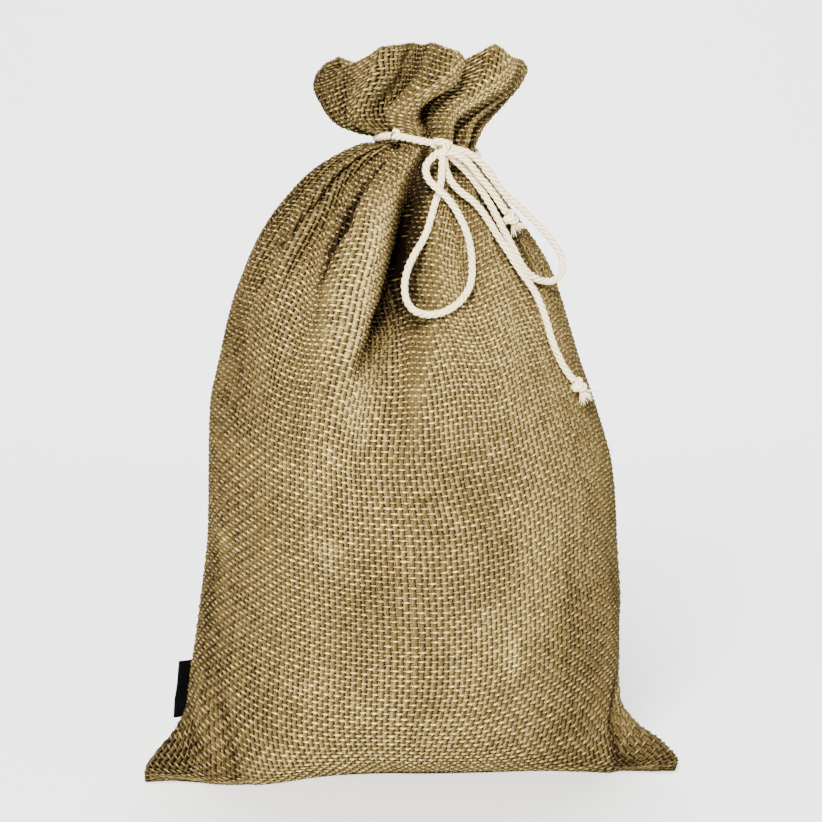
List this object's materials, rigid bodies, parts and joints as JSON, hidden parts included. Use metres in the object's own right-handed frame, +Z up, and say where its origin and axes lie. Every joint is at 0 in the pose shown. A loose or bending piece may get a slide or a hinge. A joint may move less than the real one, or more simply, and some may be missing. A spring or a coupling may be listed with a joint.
{
  "type": "gift pouch",
  "caption": "Standing jute gift pouch, gathered at the neck under a pleated ruffle and tied in a bow with a twisted cotton cord, with a bare loop label in its side seam.",
  "frame": {"origin": "on the surface the pouch stands on, at the middle of its flat bottom", "axes": "+X to the right seen from the front, +Y to the back, +Z up. The front, where the bow is, faces -Y"},
  "size_m": [0.1987, 0.0933, 0.2707],
  "materials": {
    "jute_hessian": "coarse plain weave",
    "cotton_cord": "soft twisted cotton",
    "label_ribbon": "smooth woven ribbon",
    "tack_thread": "matt sewing thread"
  },
  "bodies": {
    "root": {"pouch": "jute_hessian", "side_label": "label_ribbon", "thread_tack": "tack_thread", "neck_cord": "cotton_cord", "bow_knot": "cotton_cord", "loop_left": "cotton_cord", "loop_right": "cotton_cord", "tail_front": "cotton_cord", "tail_back": "cotton_cord", "end_knot_front": "cotton_cord", "end_knot_back": "cotton_cord"}
  },
  "joints": []
}
